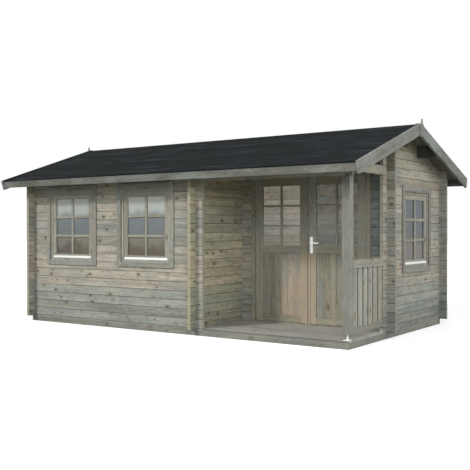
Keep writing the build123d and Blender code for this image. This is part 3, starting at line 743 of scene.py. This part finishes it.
CAD_MATERIALS = {
    "foundation_long_beams": base_x,
    "foundation_cross_beams": base_y,
    "room_floor": floor_x,
    "veranda_floor": floor_x,
    "front_wall": log_x,
    "front_eaves_logs": log_x,
    "rear_wall": log_x,
    "door_wall_sides": door_wall_x,
    "door_wall_over": door_wall_x,
    "left_gable_wall": log_y,
    "right_gable_wall": log_y,
    "veranda_side_wall": veranda_wall_lit_y,
    "side_log": side_log_y,
    "ridge_purlin": purlin_in_shade_x,
    "side_purlins": purlin_in_shade_x,
    "roof_boards_front": soffit_front,
    "roof_boards_rear": soffit_rear,
    "roof_covering_front": roof_felt,
    "roof_covering_rear": roof_felt,
    "eaves_fascias": fascia_x,
    "bargeboards_front": barge_front,
    "bargeboards_rear": barge_rear,
    "verge_strips_front": roof_felt,
    "verge_strips_rear": roof_felt,
    "finials": finial_z,
    "corner_post": trim_z,
    "post_foot": white_metal,
    "balustrade_rails": trim_y,
    "balusters": baluster_z,
    "window_glass": glass_windows,
    "window_drip_strips": white_metal,
    "door_jambs": jamb_z,
    "door_head": trim_x,
    "door_threshold": trim_x,
    "left_leaf_glass": glass_left,
    "right_leaf_glass": glass_right,
    "hinge_pins": dull_metal,
    "left_leaf_hinges": dull_metal,
    "right_leaf_hinges": dull_metal,
    "handle_plates": handle_metal,
    "lever_handle": handle_metal,
}

for node_name, material in CAD_MATERIALS.items():
    mesh = nodes[node_name].data
    mesh.materials.clear()
    mesh.materials.append(material)


# Boards as meshes of their own

class Boards:
    """A mesh of planed boards with eased edges. Each board has its grain and a number of its own."""

    def __init__(self, name, materials, place=None):
        self.name = name
        self.materials = materials
        self.place = place or Matrix.Identity(4)
        self.mesh = bmesh.new()
        self.number = self.mesh.faces.layers.float.new("board")
        self.grain = self.mesh.faces.layers.float_vector.new("grain")
        self.count = 0

    def add(self, low, high, grain, edge=EDGE, material=0):
        low = Vector(low)
        high = Vector(high)
        self.count += 1
        size = high - low
        middle = (low + high) / 2
        where = self.place @ Matrix.Translation(middle) @ Matrix.Diagonal((*size, 1.0))
        before = set(self.mesh.faces)
        made = bmesh.ops.create_cube(self.mesh, size=1.0, matrix=where)
        edges = {e for v in made["verts"] for e in v.link_edges}
        eased = min(edge, min(size) * EDGE_LIMIT)
        bmesh.ops.bevel(self.mesh, geom=list(edges), offset=eased, segments=1, affect="EDGES")
        turned = (self.place.to_3x3() @ Vector(grain)).normalized()
        for face in self.mesh.faces:
            if face not in before:
                face[self.number] = self.count
                face[self.grain] = turned
                face.material_index = material

    def finish(self, body, slot, *replaced):
        mesh = bpy.data.meshes.new(self.name)
        self.mesh.to_mesh(mesh)
        self.mesh.free()
        for material in self.materials:
            mesh.materials.append(material)
        piece = bpy.data.objects.new(self.name, mesh)
        bpy.context.scene.collection.objects.link(piece)
        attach(piece, body)
        if replaced:
            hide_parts(*replaced)


def ring_of_boards(boards, half, z0, z1, side, top, foot, y0, y1):
    """Two stiles at full height, with a head and a foot between them."""
    boards.add((-half, y0, z0), (-half + side, y1, z1), ALONG_Z)
    boards.add((half - side, y0, z0), (half, y1, z1), ALONG_Z)
    boards.add((-half + side, y0, z1 - top), (half - side, y1, z1), ALONG_X)
    boards.add((-half + side, y0, z0), (half - side, y1, z0 + foot), ALONG_X)


def window_places():
    """Where each window stands: the middle of its foot, on the wall's outer face."""
    places = []
    for x in WINDOW_CENTRES:
        places.append(Matrix.Translation((LEFT + x, FRONT, WINDOW_BOTTOM)))
    side = Matrix.Translation((RIGHT, FRONT + SIDE_WINDOW_CENTRE, WINDOW_BOTTOM - LOG_COURSE / 2))
    places.append(side @ Matrix.Rotation(math.pi / 2, 4, "Z"))
    return places


def windows():
    """Casing, frame, sash, glazing bars and beads of each window, as boards."""
    frame_half = CASING_WIDTH / 2 - CASING_SIDE + CASING_LAP
    frame_low = CASING_FOOT - CASING_LAP
    frame_high = CASING_HEIGHT - CASING_TOP + CASING_LAP
    sash_half = frame_half - FRAME_FACE - SASH_GAP
    sash_low = frame_low + FRAME_FACE + SASH_GAP
    sash_high = frame_high - FRAME_FACE - SASH_GAP
    sash_back = SASH_SET_BACK + SASH_THICKNESS
    stop_face = FRAME_FACE + FRAME_STOP
    glass_half = sash_half - SASH_STILE
    glass_low = sash_low + SASH_FOOT
    glass_high = sash_high - SASH_STILE
    glass_y = SASH_SET_BACK + SASH_THICKNESS / 2
    inner_face = glass_y + GLASS_THICKNESS
    half_bar = GLASS_BAR / 2
    light_height = (glass_high - glass_low) / 3
    kinds = ("casing", "frame", "sash", "bars")
    meshes = {}
    for kind in kinds:
        material = trim_pieces if kind == "casing" else frame_pieces
        meshes[kind] = Boards("window_" + kind + "_boards", [material])
    for place in window_places():
        for mesh in meshes.values():
            mesh.place = place
        ring_of_boards(meshes["casing"], CASING_WIDTH / 2, 0.0, CASING_HEIGHT, CASING_SIDE, CASING_TOP,
                       CASING_FOOT, -CASING_THICKNESS, 0.0)
        ring_of_boards(meshes["frame"], frame_half, frame_low, frame_high, FRAME_FACE, FRAME_FACE,
                       FRAME_FACE, 0.0, sash_back)
        ring_of_boards(meshes["frame"], frame_half, frame_low, frame_high, stop_face, stop_face, stop_face,
                       sash_back, FRAME_DEPTH)
        ring_of_boards(meshes["sash"], sash_half, sash_low, sash_high, SASH_STILE, SASH_STILE,
                       SASH_FOOT, SASH_SET_BACK, sash_back)
        bars = meshes["bars"]
        for front, back, bead_back in ((glass_y - BAR_THICKNESS, glass_y, glass_y),
                                       (inner_face, sash_back, inner_face + BEAD)):
            bars.add((-half_bar, front, glass_low), (half_bar, back, glass_high), ALONG_Z, BAR_EDGE)
            for step in (1, 2):
                z = glass_low + step * light_height
                for x0, x1 in ((-glass_half, -half_bar), (half_bar, glass_half)):
                    bars.add((x0, front, z - half_bar), (x1, back, z + half_bar), ALONG_X, BAR_EDGE)
            ring_of_boards(bars, glass_half, glass_low, glass_high, BEAD, BEAD, BEAD, front, bead_back)
    meshes["casing"].finish("cabin", "trim_wood", "window_casings")
    meshes["frame"].finish("cabin", "frame_wood", "window_frames")
    meshes["sash"].finish("cabin", "frame_wood", "window_sashes")
    meshes["bars"].finish("cabin", "frame_wood")


def door_leaf(name, body, meeting_side, tan_from, tan_to):
    """One leaf: stiles, rails, upright panel boards, glazing bars and the strip on its meeting edge.

    Boards of the panel between `tan_from` and `tan_to`, counted from the left, are the lighter ones.
    """
    low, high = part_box(name)
    x0, strip_y, strip_z = low
    x1, y1, z1 = high
    y0 = strip_y + MEETING_STRIP_THICKNESS
    z0 = strip_z + MEETING_STRIP_DROP
    boards = Boards(name + "_boards", [door_pieces, tan_pieces, bar_pieces, meeting_pieces, panel_pieces])
    inner0 = x0 + LEAF_STILE
    inner1 = x1 - LEAF_STILE
    glass_top = z1 - LEAF_TOP_RAIL
    panel_low = z0 + LEAF_BOTTOM_RAIL
    panel_high = GLAZING_BOTTOM - MIDDLE_RAIL
    left_wood = MEETING_WOOD if meeting_side < 0 else PLAIN_WOOD
    right_wood = MEETING_WOOD if meeting_side > 0 else PLAIN_WOOD
    boards.add((x0, y0, z0), (inner0, y1, z1), ALONG_Z, LEAF_EDGE, left_wood)
    boards.add((inner1, y0, z0), (x1, y1, z1), ALONG_Z, LEAF_EDGE, right_wood)
    for rail_low, rail_high in ((glass_top, z1), (panel_high, GLAZING_BOTTOM), (z0, panel_low)):
        boards.add((inner0, y0, rail_low), (inner1, y1, rail_high), ALONG_X, LEAF_EDGE)
    strip_x = x0 if meeting_side < 0 else x1 - MEETING_STRIP_WIDTH
    boards.add((strip_x, strip_y, strip_z), (strip_x + MEETING_STRIP_WIDTH, y0, z1), ALONG_Z, STRIP_EDGE,
               MEETING_WOOD)
    middle = (y0 + y1) / 2
    front = middle - PANEL_THICKNESS / 2
    back = middle + PANEL_THICKNESS / 2
    count = round((inner1 - inner0) / PANEL_BOARD)
    width = (inner1 - inner0) / count
    for index in range(count):
        board_x = inner0 + index * width
        board_wood = TAN_WOOD if tan_from <= index < tan_to else PANEL_WOOD
        boards.add((board_x, front, panel_low), (board_x + width, back, panel_high), ALONG_Z, LEAF_EDGE,
                   board_wood)
    glass_front = middle - GLASS_THICKNESS / 2
    glass_back = middle + GLASS_THICKNESS / 2
    centre = (inner0 + inner1) / 2
    light_height = (glass_top - GLAZING_BOTTOM) / 3
    half = LEAF_BAR / 2
    for bar_front, bar_back in ((glass_front - LEAF_BAR_THICKNESS, glass_front),
                                (glass_back, glass_back + LEAF_BAR_THICKNESS)):
        boards.add((centre - half, bar_front, GLAZING_BOTTOM), (centre + half, bar_back, glass_top), ALONG_Z,
                   LEAF_EDGE, BAR_WOOD)
        for step in (1, 2):
            z = GLAZING_BOTTOM + step * light_height
            for a, b in ((inner0, centre - half), (centre + half, inner1)):
                boards.add((a, bar_front, z - half), (b, bar_back, z + half), ALONG_X, LEAF_EDGE, BAR_WOOD)
    boards.finish(body, "door_wood", name)


windows()
door_leaf("left_leaf", "left_door", 1, 3, 9)
door_leaf("right_leaf", "right_door", -1, 4, 9)


# Felt laps and the felt over the ridge

FELT_COURSES = 3
LAP_CLEAR = 0.038
LAP_RISE = 0.0025
LAP_LENGTH = 0.28
LAP_FADE = 0.2
RIDGE_STRIP = 0.15


def roof_strips():
    """Lower edges of the overlapping strips, parallel to the eaves, and the strip over the ridge."""
    low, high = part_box("roof_covering_front")
    x0 = low.x + LAP_CLEAR
    x1 = high.x - LAP_CLEAR
    edge_y = -low.y
    mesh = bmesh.new()

    def wedge(side, y_low, y_high):
        """One long thin wedge, thick at its lower edge."""
        outline = [(y_low, 0.0), (y_low, LAP_RISE), (y_high, LAP_RISE * LAP_FADE), (y_high, 0.0)]
        rows = []
        for x in (x0, x1):
            row = []
            for y, above in outline:
                z = RIDGE_HEIGHT - y * SLOPE + above / math.cos(ROOF_PITCH)
                row.append(mesh.verts.new((x, side * y, z)))
            rows.append(row)
        for i in range(len(outline)):
            j = (i + 1) % len(outline)
            mesh.faces.new((rows[0][i], rows[0][j], rows[1][j], rows[1][i]))
        mesh.faces.new(rows[0][::-1])
        mesh.faces.new(rows[1])

    for side in (-1, 1):
        for index in range(1, FELT_COURSES):
            y_low = edge_y * index / FELT_COURSES
            wedge(side, y_low, y_low - LAP_LENGTH)
        wedge(side, RIDGE_STRIP, 0.0)
    bmesh.ops.recalc_face_normals(mesh, faces=mesh.faces)
    data = bpy.data.meshes.new("roof_felt_laps")
    mesh.to_mesh(data)
    mesh.free()
    data.materials.append(roof_felt)
    piece = bpy.data.objects.new("roof_felt_laps", data)
    bpy.context.scene.collection.objects.link(piece)
    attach(piece, "cabin")


roof_strips()


# Light, floor and camera

# The floor has one colour for the camera and mirrors, and another for the light that it sends up
WHITE = (1.0, 1.0, 1.0, 1.0)
DAYLIGHT = (0.93, 0.97, 1.0, 1.0)
DAYLIGHT_STRENGTH = 0.56
FLOOR_HALF = 60.0
FLOOR_LIGHT = (0.30, 0.31, 0.28, 1.0)
FLOOR_SEEN = (0.93, 0.93, 0.93, 1.0)
FLOOR_GLOW = 0.42
FAR_END = 200.0


def hang(name, lamp, towards, place=(0.0, 0.0, 0.0)):
    """Puts a lamp in the scene and points it along a direction."""
    holder = bpy.data.objects.new(name, lamp)
    holder.location = place
    holder.rotation_mode = "QUATERNION"
    holder.rotation_quaternion = Vector(towards).to_track_quat("-Z", "Y")
    bpy.context.scene.collection.objects.link(holder)


def sun(name, energy, width, sideways, height, colour):
    """A far lamp. `sideways` and `height` are its angles, in degrees, from straight ahead and from level."""
    lamp = bpy.data.lights.new(name, "SUN")
    lamp.energy = energy
    lamp.angle = math.radians(width)
    lamp.color = colour
    turn = math.radians(sideways)
    drop = math.radians(height)
    towards = (math.sin(turn) * math.cos(drop), math.cos(turn) * math.cos(drop), -math.sin(drop))
    hang(name, lamp, towards)


def area(name, place, target, size, energy):
    """A broad soft lamp."""
    lamp = bpy.data.lights.new(name, "AREA")
    lamp.shape = "RECTANGLE"
    lamp.size = size[0]
    lamp.size_y = size[1]
    lamp.energy = energy
    hang(name, lamp, Vector(target) - Vector(place), place)


def world():
    """Plain soft daylight on the object, and white behind it, also in its glass and metal."""
    made = bpy.data.worlds.new("daylight")
    bpy.context.scene.world = made
    made.use_nodes = True
    tree = made.node_tree
    tree.nodes.clear()
    path = tree.nodes.new("ShaderNodeLightPath")
    seen = path.outputs["Is Camera Ray"]
    for ray in ("Is Glossy Ray", "Is Transmission Ray"):
        either = tree.nodes.new("ShaderNodeMath")
        either.operation = "MAXIMUM"
        tree.links.new(seen, either.inputs[0])
        tree.links.new(path.outputs[ray], either.inputs[1])
        seen = either.outputs[0]
    mix = tree.nodes.new("ShaderNodeMixShader")
    tree.links.new(seen, mix.inputs[0])
    for socket, colour, strength in ((mix.inputs[1], DAYLIGHT, DAYLIGHT_STRENGTH),
                                     (mix.inputs[2], WHITE, 1.0)):
        light = tree.nodes.new("ShaderNodeBackground")
        light.inputs["Color"].default_value = colour
        light.inputs["Strength"].default_value = strength
        tree.links.new(light.outputs[0], socket)
    output = tree.nodes.new("ShaderNodeOutputWorld")
    tree.links.new(mix.outputs[0], output.inputs[0])


def floor():
    """A plain pale floor. It looks white, and sends up only as much light as a garden does."""
    half = FLOOR_HALF
    corners = [(-half, -half, 0.0), (half, -half, 0.0), (half, half, 0.0), (-half, half, 0.0)]
    mesh = bpy.data.meshes.new("floor")
    mesh.from_pydata(corners, [], [(0, 1, 2, 3)])
    shade = Shade("floor_paint")
    path = shade.add("ShaderNodeLightPath")
    mirrored = shade.math("MAXIMUM", path.outputs["Is Glossy Ray"], path.outputs["Is Transmission Ray"])
    seen = shade.math("MAXIMUM", path.outputs["Is Camera Ray"], mirrored)
    colour = shade.mix(seen, FLOOR_LIGHT, FLOOR_SEEN)
    glow = shade.math("MULTIPLY", seen, FLOOR_GLOW)
    mesh.materials.append(shade.finish(colour, roughness=1.0, Specular_IOR_Level=0.0, Emission_Color=WHITE,
                                       Emission_Strength=glow))
    piece = bpy.data.objects.new("floor", mesh)
    bpy.context.scene.collection.objects.link(piece)


def camera():
    """The photograph's camera."""
    made = bpy.data.cameras.new("camera")
    made.sensor_width = SENSOR_WIDTH
    made.lens = SENSOR_WIDTH * FOCAL_PIXELS / PHOTO_WIDTH
    made.clip_end = FAR_END
    ahead = math.cos(CAMERA_DOWN)
    forward = Vector((-math.sin(CAMERA_YAW) * ahead, math.cos(CAMERA_YAW) * ahead, -math.sin(CAMERA_DOWN)))
    level = Vector((math.cos(CAMERA_YAW), math.sin(CAMERA_YAW), 0.0))
    upright = level.cross(forward)
    right = level * math.cos(CAMERA_ROLL) + upright * math.sin(CAMERA_ROLL)
    up = upright * math.cos(CAMERA_ROLL) - level * math.sin(CAMERA_ROLL)
    turn = Matrix((right, up, -forward)).transposed()
    holder = bpy.data.objects.new("camera", made)
    holder.matrix_world = Matrix.Translation(CAMERA_PLACE) @ turn.to_4x4()
    bpy.context.scene.collection.objects.link(holder)
    bpy.context.scene.camera = holder


sun("key", energy=1.7, width=7.0, sideways=27.0, height=34.5, colour=(1.0, 0.985, 0.95))
sun("right fill", energy=0.36, width=40.0, sideways=-70.0, height=14.0, colour=(1.0, 1.0, 0.98))
area("side fill", place=(9.0, 1.0, 4.0), target=(2.5, 0.3, 1.2), size=(5.0, 4.0), energy=130.0)
area("veranda fill", place=(4.6, -5.2, 3.2), target=(1.4, -0.6, 0.8), size=(2.4, 1.4), energy=90.0)
area("room light", place=(0.4, 0.3, 2.05), target=(0.4, 1.4, 0.6), size=(3.0, 0.5), energy=27.0)
world()
floor()
camera()
bpy.context.scene.view_settings.view_transform = "Standard"
